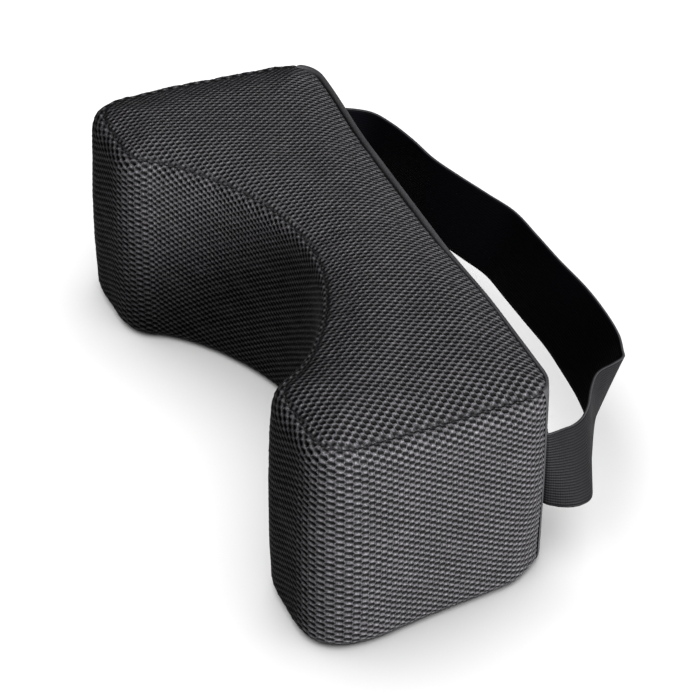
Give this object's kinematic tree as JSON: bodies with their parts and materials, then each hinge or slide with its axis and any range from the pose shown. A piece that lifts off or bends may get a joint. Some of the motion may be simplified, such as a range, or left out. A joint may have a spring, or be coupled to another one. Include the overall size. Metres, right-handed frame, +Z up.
{
  "type": "head rest cushion",
  "caption": "C-shaped head and neck rest cushion for a wheelchair, covered in air mesh, with a smooth back panel and a wide elastic strap that loops round the chair back",
  "frame": {"origin": "on the flat base, 40 mm in front of the back face's plane and half way between its ends", "axes": "+Z up, the hollow for the head faces -Y, the back panel and the strap face +Y, +X runs along the long side"},
  "size_m": [0.3323, 0.2126, 0.1368],
  "materials": {
    "air_mesh": "matte knitted air mesh",
    "smooth_knit": "matte smooth knit",
    "elastic": "matte ribbed elastic"
  },
  "bodies": {
    "root": {"cushion": "air_mesh", "back_panel": "smooth_knit", "strap": "elastic"}
  },
  "joints": []
}
